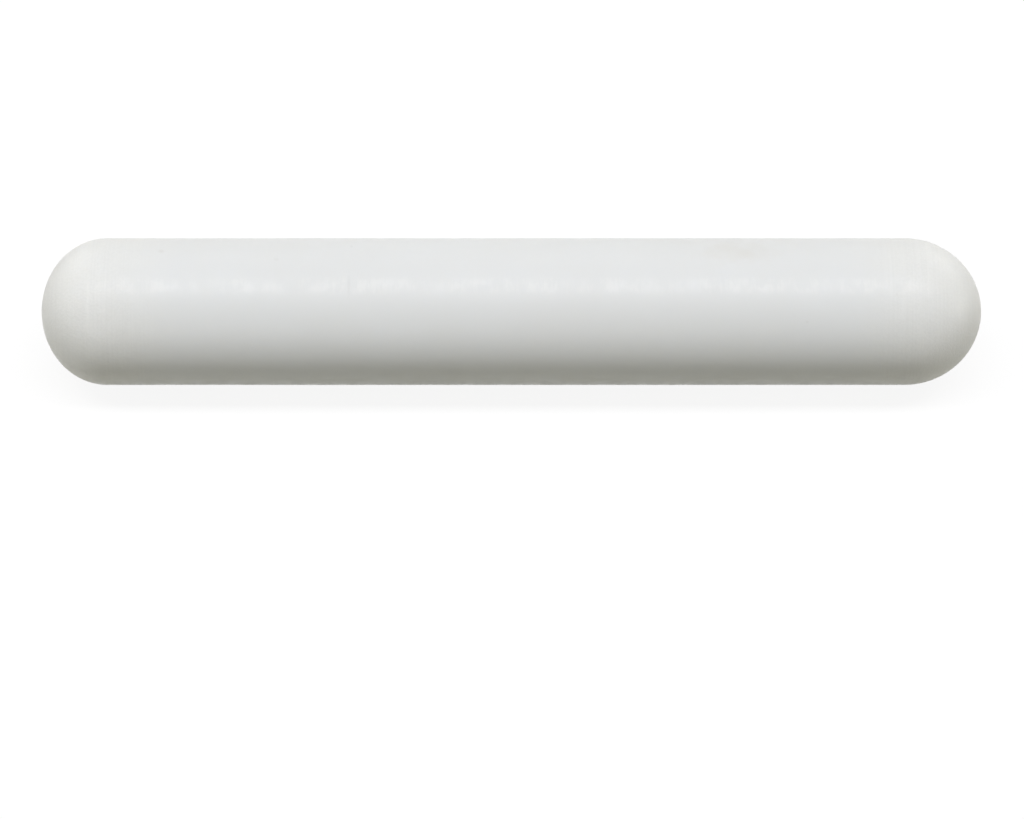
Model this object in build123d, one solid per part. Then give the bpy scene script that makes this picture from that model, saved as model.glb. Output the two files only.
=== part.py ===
from build123d import *
from math import sqrt
import os

# Magnetic stir bar: a bar magnet sealed inside a one-piece white PTFE jacket.
#
# The jacket is moulded round the magnet with no joint, so it is one solid with a closed
# cavity. Outside, it is a plain cylindrical barrel between two domes. Each dome is a
# quarter ellipse turned about the bar's axis, and it runs into the barrel with no step.
# The two domes are finished separately, and their heights differ a little.
# The magnet is a ground rod with both edges broken. It fills the cavity apart from a
# small clearance, and it is magnetised from end to end.
#
# Frame, in millimetres: +X runs along the bar and +Z is up. The origin is on the bar's
# axis, half way between its tips. Lying down, the bar touches Z = -BAR_DIAMETER / 2.

# Outside of the jacket
BAR_LENGTH = 50.8  # from tip to tip, 2 inches
BAR_DIAMETER = 7.94  # of the barrel, 5/16 inch
LEFT_DOME_HEIGHT = 3.55  # along the axis, at the -X end
RIGHT_DOME_HEIGHT = 4.15  # along the axis, at the +X end

# Thickness of the jacket over its cavity
SIDE_WALL = 1.15  # around the magnet
END_WALL = 4.0  # beyond each end of the magnet, measured on the axis

# Magnet in its cavity
MAGNET_CLEARANCE = 0.03  # between the magnet and the jacket, on every side
MAGNET_CHAMFER = 0.3  # on both of the magnet's round edges

def dome_outline(base: float, tip: float) -> Bezier:
    """A quarter ellipse, from the barrel's rim at X = base to the tip on the axis at X = tip."""
    radius = BAR_DIAMETER / 2
    # With this weight at its corner, a quadratic Bezier curve is an exact quarter ellipse.
    corner_weight = sqrt(1 / 2)
    return Bezier((base, radius), (tip, radius), (tip, 0), weights=(1, corner_weight, 1))

def capsule() -> Part:
    """The jacket's outside, as a solid: half its outline, turned about the X axis."""
    half_length = BAR_LENGTH / 2
    with BuildPart() as body:
        with BuildSketch(Plane.XY):
            with BuildLine():
                left_dome = dome_outline(LEFT_DOME_HEIGHT - half_length, -half_length)
                right_dome = dome_outline(half_length - RIGHT_DOME_HEIGHT, half_length)
                Line(left_dome @ 0, right_dome @ 0)
                Line(left_dome @ 1, right_dome @ 1)
            make_face()
        revolve(axis=Axis.X)
    return body.part

def chamfered_rod(clearance: float) -> Part:
    """The cavity's shape, or the magnet's if it is made smaller by the clearance on every side."""
    length = BAR_LENGTH - 2 * (END_WALL + clearance)
    radius = BAR_DIAMETER / 2 - SIDE_WALL - clearance
    with BuildPart() as rod:
        Cylinder(radius, length, rotation=(0, 90, 0))
        chamfer(rod.edges().filter_by(GeomType.CIRCLE), MAGNET_CHAMFER)
    return rod.part

def ptfe_jacket() -> Part:
    """The white jacket, moulded round the magnet: the capsule with its closed cavity."""
    return capsule() - chamfered_rod(clearance=0)

def bar_magnet() -> Part:
    """The rod magnet that a stirrer's drive turns, held in the jacket's cavity."""
    return chamfered_rod(clearance=MAGNET_CLEARANCE)

os.makedirs("parts", exist_ok=True)
for make_piece in (ptfe_jacket, bar_magnet):
    piece = make_piece()
    piece.label = make_piece.__name__
    export_step(piece, f"parts/{piece.label}.step")
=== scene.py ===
import bpy
import math
import numpy as np
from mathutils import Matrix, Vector


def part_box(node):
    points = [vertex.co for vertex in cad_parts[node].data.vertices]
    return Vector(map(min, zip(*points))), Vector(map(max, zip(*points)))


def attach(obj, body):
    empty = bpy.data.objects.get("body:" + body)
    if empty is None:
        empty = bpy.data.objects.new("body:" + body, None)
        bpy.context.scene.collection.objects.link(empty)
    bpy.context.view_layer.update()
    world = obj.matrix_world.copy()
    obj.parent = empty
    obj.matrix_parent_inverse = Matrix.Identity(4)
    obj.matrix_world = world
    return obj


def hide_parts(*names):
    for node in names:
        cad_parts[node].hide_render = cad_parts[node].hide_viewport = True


# Magnetic stir bar: a white PTFE capsule lying on a white table, seen from in front and above.
# Lengths are in metres unless a name says otherwise. +X runs along the bar and +Z is up.
# A place on the bar is given by x along it and by an angle around it: 0 degrees faces the
# front (-Y), 90 degrees faces up, and 180 degrees faces the back.

MM = 0.001
MICRON = 0.000001

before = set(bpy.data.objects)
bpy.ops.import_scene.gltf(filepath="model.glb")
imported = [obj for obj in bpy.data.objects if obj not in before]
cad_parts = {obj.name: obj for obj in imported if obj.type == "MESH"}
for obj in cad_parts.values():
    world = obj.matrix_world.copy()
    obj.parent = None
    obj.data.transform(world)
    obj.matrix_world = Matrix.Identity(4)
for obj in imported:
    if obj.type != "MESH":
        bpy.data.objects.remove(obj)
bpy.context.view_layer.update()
jacket_low, jacket_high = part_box("ptfe_jacket")
magnet_low, magnet_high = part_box("bar_magnet")

# Sizes of the jacket
HALF_LENGTH = jacket_high.x
RADIUS = jacket_high.y
LEFT_DOME_HEIGHT = 3.55 * MM
RIGHT_DOME_HEIGHT = 4.15 * MM
CAVITY_CLEARANCE = 0.03 * MM
CAVITY_CHAMFER = 0.3 * MM
CAVITY_END = magnet_high.x + CAVITY_CLEARANCE
CAVITY_RADIUS = magnet_high.y + CAVITY_CLEARANCE

# How finely the jacket's mesh is divided, and how finely its outline is measured for that
ROW_PITCH = 0.05 * MM
AROUND = 80
OUTLINE_STEPS = 4000

# The turned surface is never quite true. Its marks are this far apart and about this deep, and
# they come and go around the bar: each set is deepest at one of these angles, in radians.
FINE_MARKS = (0.16 * MM, 0.05 * MICRON)
COARSE_MARKS = (0.8 * MM, 0.12 * MICRON)
WAVINESS = (6 * MM, 1.5 * MICRON)
DEEPEST_AT = (0.3, 2.4, 4.5)

# The marks fade out this near a tip, and a ring fades out over this angle at each of its ends
TIP_FADE = 1 * MM
RING_FADE = 20

# Rings cut into the jacket, where a tool finished a dome or something hard has rubbed:
# x, the angles that it starts and ends at, width and depth
RINGS = (
    (-22.75 * MM, -10, 100, 0.10 * MM, 3.0 * MICRON),
    (-22.45 * MM, -30, 95, 0.12 * MM, 4.0 * MICRON),
    (-21.55 * MM, 20, 150, 0.12 * MM, 2.5 * MICRON),
    (22.30 * MM, 10, 110, 0.12 * MM, 3.5 * MICRON),
    (21.70 * MM, 40, 150, 0.10 * MM, 2.0 * MICRON),
    (-8.70 * MM, 45, 150, 0.12 * MM, 3.0 * MICRON),
    (4.25 * MM, 52, 82, 0.10 * MM, 2.0 * MICRON),
    (-15.30 * MM, 190, 290, 0.12 * MM, 3.0 * MICRON),
    (9.80 * MM, 200, 330, 0.12 * MM, 3.0 * MICRON),
)

rng = np.random.default_rng(7)


# ---------------------------------------------------------------- helpers

def srgb(red, green, blue):
    """A colour given as 0 to 255 sRGB values, as linear RGBA."""
    linear = []
    for value in (red, green, blue):
        share = value / 255
        linear.append(share / 12.92 if share <= 0.04045 else ((share + 0.055) / 1.055) ** 2.4)
    return (*linear, 1)


def on_barrel(x, angle):
    """The point on the barrel's surface at x and at an angle around it, in degrees."""
    turn = math.radians(angle)
    return Vector((x, -RADIUS * math.cos(turn), RADIUS * math.sin(turn)))


class Nodes:
    """Builds the nodes of a material or the world, with few words for each."""

    # The Mix node's sockets for colours, which share their names with its other sockets
    MIX_FIRST = 6
    MIX_SECOND = 7
    MIX_RESULT = 2

    def __init__(self, owner):
        owner.use_nodes = True
        self.tree = owner.node_tree
        self.tree.nodes.clear()

    def add(self, kind, inputs=None, **settings):
        """Adds a node. Each input is a number, a colour or another node's output."""
        node = self.tree.nodes.new(kind)
        for name, value in settings.items():
            setattr(node, name, value)
        for name, value in (inputs or {}).items():
            if isinstance(value, bpy.types.NodeSocket):
                self.tree.links.new(value, node.inputs[name])
            else:
                node.inputs[name].default_value = value
        return node

    def math(self, operation, first, second=0.0):
        return self.add("ShaderNodeMath", {0: first, 1: second}, operation=operation).outputs[0]

    def vector_math(self, operation, first, second):
        return self.add("ShaderNodeVectorMath", {0: first, 1: second}, operation=operation)

    def blend(self, first, first_share, second, second_share):
        """The sum of two values, each times its share."""
        first = self.math("MULTIPLY", first, first_share)
        second = self.math("MULTIPLY", second, second_share)
        return self.math("ADD", first, second)

    def ramp(self, value, low, high, to_low=0.0, to_high=1.0):
        """Turns low..high into to_low..to_high, smoothly and without going past either."""
        inputs = {"Value": value, "From Min": low, "From Max": high}
        inputs.update({"To Min": to_low, "To Max": to_high})
        return self.add("ShaderNodeMapRange", inputs, interpolation_type="SMOOTHSTEP").outputs[0]

    def noise(self, vector, stretch, detail):
        """Smooth random values round 0.5. stretch is how many bumps there are per unit each way."""
        place = self.vector_math("MULTIPLY", vector, stretch).outputs[0]
        inputs = {"Vector": place, "Scale": 1.0, "Detail": detail}
        return self.add("ShaderNodeTexNoise", inputs).outputs["Fac"]

    def mix(self, share, first, second):
        """A colour between the first, where the share is 0, and the second, where it is 1."""
        inputs = {"Factor": share, self.MIX_FIRST: first, self.MIX_SECOND: second}
        mixed = self.add("ShaderNodeMix", inputs, data_type="RGBA")
        return mixed.outputs[self.MIX_RESULT]


# ---------------------------------------------------------------- the jacket's shape

def smooth_noise(length, spacing, height):
    """Random heights, one every ROW_PITCH along a length, that change smoothly over a spacing."""
    knots = rng.normal(0, height, int(length / spacing) + 4)
    at = np.arange(int(length / ROW_PITCH) + 1) * ROW_PITCH / spacing
    step = np.floor(at).astype(int)
    share = at - step
    share = share * share * (3 - 2 * share)
    return knots[step] * (1 - share) + knots[step + 1] * share


def outline():
    """Points from tip to tip, about ROW_PITCH apart along the jacket's outline.
    Gives each point's x and radius, the outline's normal there, and the distance along it."""
    quarter = np.linspace(0, math.pi / 2, OUTLINE_STEPS)
    left_x = -HALF_LENGTH + LEFT_DOME_HEIGHT * (1 - np.cos(quarter))
    right_x = (HALF_LENGTH - RIGHT_DOME_HEIGHT * (1 - np.cos(quarter)))[::-1]
    fine_x = np.concatenate([left_x, right_x])
    fine_r = RADIUS * np.concatenate([np.sin(quarter), np.sin(quarter)[::-1]])
    fine_along = np.concatenate([[0], np.cumsum(np.hypot(np.diff(fine_x), np.diff(fine_r)))])
    along = np.linspace(0, fine_along[-1], int(fine_along[-1] / ROW_PITCH) + 1)
    x = np.interp(along, fine_along, fine_x)
    r = np.interp(along, fine_along, fine_r)
    normal_x = -np.gradient(r, along)
    normal_r = np.gradient(x, along)
    size = np.hypot(normal_x, normal_r)
    return x, r, normal_x / size, normal_r / size, along


def mark_depth(x, along, angle):
    """How far the marks lie inside the plain capsule, for each row and each angle around."""
    length = along[-1]
    depth = np.zeros((len(x), len(angle)))
    for deepest in DEEPEST_AT:
        fine = smooth_noise(length, *FINE_MARKS)
        coarse = smooth_noise(length, *COARSE_MARKS)
        depth += (fine + coarse)[:, None] * (0.5 + 0.5 * np.cos(angle - deepest))
    depth += smooth_noise(length, *WAVINESS)[:, None]
    for ring_x, start, end, width, deep in RINGS:
        middle = math.radians((start + end) / 2)
        half = math.radians(end - start) / 2
        off = np.abs((angle - middle + math.pi) % (2 * math.pi) - math.pi)
        fade = np.clip((half - off) / math.radians(RING_FADE), 0, 1)
        across = np.exp(-(((x - ring_x) / (width / 2)) ** 2))
        depth += deep * across[:, None] * fade
    depth -= depth.min()
    near_tip = np.minimum(along, length - along)
    return depth * np.clip(near_tip / TIP_FADE, 0, 1)[:, None]


def lathe(rings, tips):
    """Points and faces of a closed turned shape: rings of points from its left tip to its right."""
    rows, around = rings.shape[:2]
    points = [tuple(point) for point in rings.reshape(-1, 3)]
    left_tip, right_tip = len(points), len(points) + 1
    points += [(tips[0], 0, 0), (tips[1], 0, 0)]
    spokes = [(j, (j + 1) % around) for j in range(around)]
    last = (rows - 1) * around
    faces = [(left_tip, a, b) for a, b in spokes]
    for row in range(0, last, around):
        faces += [(row + a, row + around + a, row + around + b, row + b) for a, b in spokes]
    faces += [(last + a, right_tip, last + b) for a, b in spokes]
    return points, faces


def jacket_shell():
    """The jacket's outside, turned with every mark in it, and each point's place when unrolled."""
    x, r, normal_x, normal_r, along = outline()
    angle = (np.arange(AROUND) + 0.5) * 2 * math.pi / AROUND
    depth = mark_depth(x, along, angle)
    ring_x = x[:, None] - normal_x[:, None] * depth
    ring_r = r[:, None] - normal_r[:, None] * depth
    rings = np.stack([ring_x, -ring_r * np.cos(angle), ring_r * np.sin(angle)], axis=2)
    points, faces = lathe(rings[1:-1], (-HALF_LENGTH, HALF_LENGTH))
    circle = np.stack([-RADIUS * np.cos(angle), RADIUS * np.sin(angle)], axis=1)
    unrolled = np.zeros((len(x) - 2, AROUND, 3))
    unrolled[:, :, 0] = along[1:-1, None]
    unrolled[:, :, 1:] = circle
    unrolled = np.concatenate([unrolled.reshape(-1, 3), [(0, 0, 0), (along[-1], 0, 0)]])
    return points, faces, unrolled


def cavity_shell():
    """The closed cavity round the magnet. Its faces look inwards."""
    rim = CAVITY_RADIUS - CAVITY_CHAMFER
    end = CAVITY_END - CAVITY_CHAMFER
    angle = np.arange(AROUND) * 2 * math.pi / AROUND
    corners = ((-CAVITY_END, rim), (-end, CAVITY_RADIUS), (end, CAVITY_RADIUS), (CAVITY_END, rim))
    rings = np.array([[(x, -r * math.cos(a), r * math.sin(a)) for a in angle] for x, r in corners])
    points, faces = lathe(rings, (-CAVITY_END, CAVITY_END))
    return points, [face[::-1] for face in faces]


def make_jacket():
    """The whole jacket: its shell and its cavity as one mesh, which replaces the CAD node."""
    shell_points, shell_faces, unrolled = jacket_shell()
    cavity_points, cavity_faces = cavity_shell()
    first = len(shell_points)
    cavity_faces = [tuple(first + corner for corner in face) for face in cavity_faces]
    mesh = bpy.data.meshes.new("ptfe_jacket_turned")
    mesh.from_pydata(shell_points + cavity_points, [], shell_faces + cavity_faces)
    mesh.polygons.foreach_set("use_smooth", [True] * len(shell_faces) + [False] * len(cavity_faces))
    places = np.concatenate([unrolled, np.zeros((len(cavity_points), 3))])
    turned = mesh.attributes.new("turned", "FLOAT_VECTOR", "POINT")
    turned.data.foreach_set("vector", places.astype(np.float32).ravel())
    mesh.validate()
    jacket = bpy.data.objects.new("ptfe_jacket_turned", mesh)
    bpy.context.scene.collection.objects.link(jacket)
    mesh.materials.append(ptfe_material())
    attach(jacket, "root")
    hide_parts("ptfe_jacket")


# ---------------------------------------------------------------- materials

# The jacket's white over the magnet and at the ends, and what its grain and clouds shade it to
BARREL_WHITE = srgb(234, 236, 235)
END_WHITE = srgb(239, 240, 237)
GRAIN_SHADE = srgb(216, 217, 214)
CLOUD_SHADE = srgb(222, 221, 214)
# The white of the painted highlight, and of the lighter places at the roots of the domes
HIGHLIGHT_AND_RING_WHITE = srgb(255, 255, 252)

# How strongly the grain, the clouds and the painted highlight show where they are strongest
GRAIN_SHARE = 0.15
CLOUD_SHARE = 0.08
HIGHLIGHT_SHARE = 0.18

# Where the look of the barrel turns into the look of an end: distances from the magnet's end,
# outwards. The border between them wanders by up to about half of BORDER_WANDER either way.
COOL_FROM = -4.2 * MM
COOL_TO = 1.2 * MM
GRAIN_FROM = -3.5 * MM
GRAIN_TO = 0.5 * MM
BORDER_WANDER = 2 * MM

# The relief in the material, as a share of RELIEF: its grain on the barrel and on the ends, and
# the turning marks on the ends. Then the roughness of the skin and of its burnished patches.
RELIEF = 6 * MICRON
BARREL_GRAIN = 0.03
END_GRAIN = 2.5
END_MARKS = 0.15
SKIN_ROUGHNESS = 0.51
BURNISHED_ROUGHNESS = 0.35

# Dirt, and lighter places at the roots of the domes: x, angle, reach along and around, strength,
# colour
SPOTS = (
    (-18.8 * MM, 99, 0.24 * MM, 0.26 * MM, 0.080, srgb(150, 125, 95)),
    (-12.6 * MM, 89, 0.20 * MM, 0.18 * MM, 0.050, srgb(150, 140, 120)),
    (-8.60 * MM, 106, 0.14 * MM, 0.20 * MM, 0.060, srgb(120, 118, 110)),
    (-8.70 * MM, 64, 0.13 * MM, 0.85 * MM, 0.050, srgb(120, 118, 110)),
    (12.1 * MM, 99, 2.90 * MM, 1.50 * MM, 0.120, srgb(212, 204, 184)),
    (12.6 * MM, 96, 0.70 * MM, 0.70 * MM, 0.060, srgb(196, 190, 170)),
    (15.8 * MM, 36, 0.12 * MM, 0.12 * MM, 0.060, srgb(130, 125, 115)),
    (20.6 * MM, 57, 0.12 * MM, 0.12 * MM, 0.050, srgb(150, 140, 125)),
    (-5.20 * MM, 214, 0.22 * MM, 0.20 * MM, 0.090, srgb(140, 122, 98)),
    (7.40 * MM, 236, 1.30 * MM, 0.80 * MM, 0.120, srgb(214, 204, 184)),
    (17.1 * MM, 168, 0.20 * MM, 0.18 * MM, 0.080, srgb(130, 122, 110)),
    (-22.65 * MM, 50, 0.15 * MM, 1.90 * MM, 0.160, HIGHLIGHT_AND_RING_WHITE),
    (-21.80 * MM, 42, 0.12 * MM, 1.60 * MM, 0.120, HIGHLIGHT_AND_RING_WHITE),
    (22.30 * MM, 62, 0.14 * MM, 1.80 * MM, 0.080, HIGHLIGHT_AND_RING_WHITE),
    (20.90 * MM, 48, 0.12 * MM, 1.40 * MM, 0.090, HIGHLIGHT_AND_RING_WHITE),
)

# A spot fades from full at its core to nothing at its edge, both as shares of its reach, and
# this much of the lumpy noise makes its edge ragged
SPOT_CORE = 0.5
SPOT_EDGE = 1.4
SPOT_RAGGED = 0.8

# A faint painted highlight in patches, along the band where the overhead lamp's highlight falls on
# the barrel: its angle, and how far it reaches to each side, in degrees
HIGHLIGHT_ANGLE = 64.5
HIGHLIGHT_REACH = 9.0


def ptfe_material():
    """White PTFE: a soft satin, warm at the turned ends and cooler over the dark magnet."""
    material = bpy.data.materials.new("ptfe_white_turned")
    nodes = Nodes(material)
    turned = nodes.add("ShaderNodeAttribute", attribute_name="turned").outputs["Vector"]
    place = nodes.add("ShaderNodeTexCoord").outputs["Object"]
    x = nodes.add("ShaderNodeSeparateXYZ", {0: place}).outputs["X"]

    marks = nodes.noise(turned, stretch=(9000, 60, 60), detail=3.0)
    streaks = nodes.noise(turned, stretch=(7000, 1300, 1300), detail=2.0)
    lumps = nodes.noise(turned, stretch=(1700, 1500, 1500), detail=2.0)
    grain = nodes.noise(place, stretch=(8000, 8000, 8000), detail=2.0)
    cloud = nodes.noise(place, stretch=(220, 220, 220), detail=2.0)
    clusters = nodes.noise(turned, stretch=(450, 100, 100), detail=2.0)
    patches = nodes.blend(streaks, 0.4, lumps, 0.6)

    # The jacket is thin over the magnet, so the dark metal cools and dulls the white there.
    wander = nodes.math("MULTIPLY", nodes.math("SUBTRACT", cloud, 0.5), BORDER_WANDER)
    from_middle = nodes.math("ADD", nodes.math("ABSOLUTE", x), wander)
    over_magnet = nodes.ramp(from_middle, magnet_high.x + COOL_TO, magnet_high.x + COOL_FROM)
    at_an_end = nodes.ramp(from_middle, magnet_high.x + GRAIN_FROM, magnet_high.x + GRAIN_TO)
    colour = nodes.mix(over_magnet, END_WHITE, BARREL_WHITE)

    # Turned grain on the ends, and faint clouds everywhere
    speckle = nodes.blend(marks, 0.5, grain, 0.5)
    duller = nodes.math("MULTIPLY", at_an_end, nodes.ramp(speckle, 0.38, 0.62, 0.0, GRAIN_SHARE))
    colour = nodes.mix(duller, colour, GRAIN_SHADE)
    colour = nodes.mix(nodes.ramp(cloud, 0.35, 0.7, 0.0, CLOUD_SHARE), colour, CLOUD_SHADE)

    # Painted highlight: the band where the overhead lamp's highlight falls is made whiter, in patches
    # that gather in clusters
    towards_highlight = nodes.vector_math("DOT_PRODUCT", place, on_barrel(0, HIGHLIGHT_ANGLE)).outputs["Value"]
    highlight_edge = RADIUS * RADIUS * math.cos(math.radians(HIGHLIGHT_REACH))
    on_highlight = nodes.ramp(towards_highlight, highlight_edge, RADIUS * RADIUS)
    painted_highlight = nodes.math("MULTIPLY", on_highlight, nodes.ramp(patches, 0.42, 0.62, 0.0, HIGHLIGHT_SHARE))
    painted_highlight = nodes.math("MULTIPLY", painted_highlight, nodes.ramp(clusters, 0.36, 0.52, 0.45, 1.0))
    colour = nodes.mix(painted_highlight, colour, HIGHLIGHT_AND_RING_WHITE)

    # Dirt and the lighter places, each a ragged spot that fades outwards
    for spot_x, angle, long, wide, strength, dirt in SPOTS:
        away = nodes.vector_math("SUBTRACT", place, on_barrel(spot_x, angle)).outputs[0]
        scaled = nodes.vector_math("MULTIPLY", away, (1 / long, 1 / wide, 1 / wide)).outputs[0]
        distance = nodes.add("ShaderNodeVectorMath", {0: scaled}, operation="LENGTH").outputs["Value"]
        ragged = nodes.math("ADD", distance, nodes.math("MULTIPLY", lumps, SPOT_RAGGED))
        colour = nodes.mix(nodes.ramp(ragged, SPOT_EDGE, SPOT_CORE, 0.0, strength), colour, dirt)

    # Only the ends keep a relief that shows. Patches of the skin are burnished, and so glossier.
    grainy = nodes.math("MULTIPLY", grain, nodes.ramp(at_an_end, 0, 1, BARREL_GRAIN, END_GRAIN))
    turning = nodes.math("MULTIPLY", marks, nodes.ramp(at_an_end, 0, 1, 0.0, END_MARKS))
    height = nodes.math("ADD", grainy, turning)
    bump = nodes.add("ShaderNodeBump", {"Strength": 1.0, "Distance": RELIEF, "Height": height})
    inputs = {
        "Base Color": colour,
        "Roughness": nodes.ramp(patches, 0.40, 0.60, SKIN_ROUGHNESS, BURNISHED_ROUGHNESS),
        "IOR": 1.35,
        "Normal": bump.outputs[0],
        "Subsurface Weight": 0.15,
        "Subsurface Radius": (1.0, 0.95, 0.85),
        "Subsurface Scale": 0.5 * MM,
    }
    shader = nodes.add("ShaderNodeBsdfPrincipled", inputs)
    nodes.add("ShaderNodeOutputMaterial", {"Surface": shader.outputs[0]})
    return material


def magnet_material():
    """Cast magnet alloy: dull grey metal with grinding marks round it and small dark pores."""
    material = bpy.data.materials.new("magnet_alloy_ground")
    nodes = Nodes(material)
    place = nodes.add("ShaderNodeTexCoord").outputs["Object"]
    marks = nodes.noise(place, stretch=(12000, 150, 150), detail=3.0)
    pores = nodes.noise(place, stretch=(2500, 2500, 2500), detail=3.0)
    colour = nodes.mix(nodes.ramp(marks, 0.3, 0.7), srgb(150, 148, 145), srgb(168, 167, 164))
    colour = nodes.mix(nodes.ramp(pores, 0.64, 0.72), colour, srgb(70, 68, 66))
    bump = nodes.add("ShaderNodeBump", {"Strength": 1.0, "Distance": 2 * MICRON, "Height": marks})
    inputs = {
        "Base Color": colour,
        "Metallic": 0.9,
        "Roughness": nodes.ramp(marks, 0.3, 0.7, 0.38, 0.52),
        "Normal": bump.outputs[0],
    }
    shader = nodes.add("ShaderNodeBsdfPrincipled", inputs)
    nodes.add("ShaderNodeOutputMaterial", {"Surface": shader.outputs[0]})
    return material


# ---------------------------------------------------------------- stage, lights and camera

# The white that the camera sees is this share of plain white and the rest of it lit white,
# so that the bar's shadow still shows. The table bounces little light, and warm.
PLAIN_WHITE = 0.86
PLAIN_STRENGTH = 1.04
LIT_WHITE = (0.9, 0.9, 0.9, 1)
BOUNCE_COLOUR = (0.225, 0.215, 0.15, 1)
WHITE = (1, 1, 1, 1)
AMBIENT = 0.01
TABLE_HALF = 2.0


def seen_as_white(nodes):
    """1 for the camera, for a reflection and through glass, and 0 for the light on the object."""
    path = nodes.add("ShaderNodeLightPath").outputs
    seen = nodes.math("MAXIMUM", path["Is Camera Ray"], path["Is Glossy Ray"])
    return nodes.math("MAXIMUM", seen, path["Is Transmission Ray"])


def make_floor():
    """A white table top, which keeps part of the bar's shadow."""
    mesh = bpy.data.meshes.new("table_top")
    corners = [(x * TABLE_HALF, y * TABLE_HALF, 0) for x, y in ((-1, -1), (1, -1), (1, 1), (-1, 1))]
    mesh.from_pydata(corners, [], [(0, 1, 2, 3)])
    floor = bpy.data.objects.new("table_top", mesh)
    floor.location.z = -RADIUS
    bpy.context.scene.collection.objects.link(floor)
    material = bpy.data.materials.new("table_white")
    nodes = Nodes(material)
    white = nodes.add("ShaderNodeEmission", {"Color": WHITE, "Strength": PLAIN_STRENGTH}).outputs[0]
    lit = nodes.add("ShaderNodeBsdfDiffuse", {"Color": LIT_WHITE}).outputs[0]
    shown = nodes.add("ShaderNodeMixShader", {0: PLAIN_WHITE, 1: lit, 2: white}).outputs[0]
    bounce = nodes.add("ShaderNodeBsdfDiffuse", {"Color": BOUNCE_COLOUR}).outputs[0]
    shader = nodes.add("ShaderNodeMixShader", {0: seen_as_white(nodes), 1: bounce, 2: shown})
    nodes.add("ShaderNodeOutputMaterial", {"Surface": shader.outputs[0]})
    mesh.materials.append(material)


def make_world():
    """White to the camera, and a dim even light on everything else."""
    world = bpy.data.worlds.new("studio")
    bpy.context.scene.world = world
    nodes = Nodes(world)
    ambient = nodes.add("ShaderNodeBackground", {"Color": WHITE, "Strength": AMBIENT}).outputs[0]
    white = nodes.add("ShaderNodeBackground", {"Color": WHITE, "Strength": 1.0}).outputs[0]
    shader = nodes.add("ShaderNodeMixShader", {0: seen_as_white(nodes), 1: ambient, 2: white})
    nodes.add("ShaderNodeOutputWorld", {"Surface": shader.outputs[0]})


# A cool light from above, plain light from the front, and slightly warm light from elsewhere
COOL = (0.975, 0.975, 1.0)
PLAIN = (1.0, 1.0, 1.0)
WARM = (1.0, 0.98, 0.94)

# Soft boxes: name, turn from the front towards +X and height above the horizon in degrees,
# width and height, power in watts, and tint
LIGHT_DISTANCE = 0.6
LIGHTS = (
    ("overhead", 0, 83, 0.90, 0.13, 3.6, COOL),
    ("front", -20, 12, 0.35, 0.14, 0.72, PLAIN),
    ("left", -90, 20, 0.30, 0.30, 0.52, WARM),
    ("right", 90, 7, 0.30, 0.12, 0.78, WARM),
    ("back_left", -140, 18, 0.30, 0.20, 0.66, WARM),
    ("back_right", 140, 18, 0.30, 0.20, 0.66, WARM),
)


def make_light(name, turn, rise, width, height, watts, tint):
    """A soft box that faces the bar. Its width runs level."""
    lamp = bpy.data.lights.new(name, "AREA")
    lamp.shape = "RECTANGLE"
    lamp.size = width
    lamp.size_y = height
    lamp.energy = watts
    lamp.color = tint
    light = bpy.data.objects.new(name, lamp)
    turn, rise = math.radians(turn), math.radians(rise)
    level = math.cos(rise)
    out = Vector((level * math.sin(turn), -level * math.cos(turn), math.sin(rise)))
    light.location = out * LIGHT_DISTANCE
    light.rotation_euler = out.to_track_quat("Z", "Y").to_euler()
    light.visible_camera = False
    bpy.context.scene.collection.objects.link(light)


# The camera looks along +Y and down at this angle, through a lens given in millimetres. The bar
# fills this share of the frame's width. It lies above the frame's middle by this share of the
# width, and left of it by this share.
CAMERA_RISE = 45
CAMERA_LENS = 200.0
SENSOR_WIDTH = 36.0
BAR_SHARE = 0.917
BAR_ABOVE = 0.0956
BAR_LEFT = 0.0006


def make_camera():
    camera = bpy.data.cameras.new("camera")
    camera.lens = CAMERA_LENS
    camera.sensor_width = SENSOR_WIDTH
    frame_width = 2 * HALF_LENGTH / BAR_SHARE
    distance = frame_width * CAMERA_LENS / SENSOR_WIDTH
    rise = math.radians(CAMERA_RISE)
    out = Vector((0, -math.cos(rise), math.sin(rise)))
    up = Vector((0, math.sin(rise), math.cos(rise)))
    right = Vector((1, 0, 0))
    aim = right * (BAR_LEFT * frame_width) - up * (BAR_ABOVE * frame_width)
    holder = bpy.data.objects.new("camera", camera)
    holder.location = aim + out * distance
    holder.rotation_euler = (math.pi / 2 - rise, 0, 0)
    camera.clip_start = 0.01
    camera.clip_end = 10
    bpy.context.scene.collection.objects.link(holder)
    bpy.context.scene.camera = holder


make_camera()
make_floor()
make_world()
for light in LIGHTS:
    make_light(*light)
make_jacket()
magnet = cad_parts["bar_magnet"]
for slot in magnet.material_slots:
    slot.material = magnet_material()

bpy.context.scene.view_settings.view_transform = "Standard"
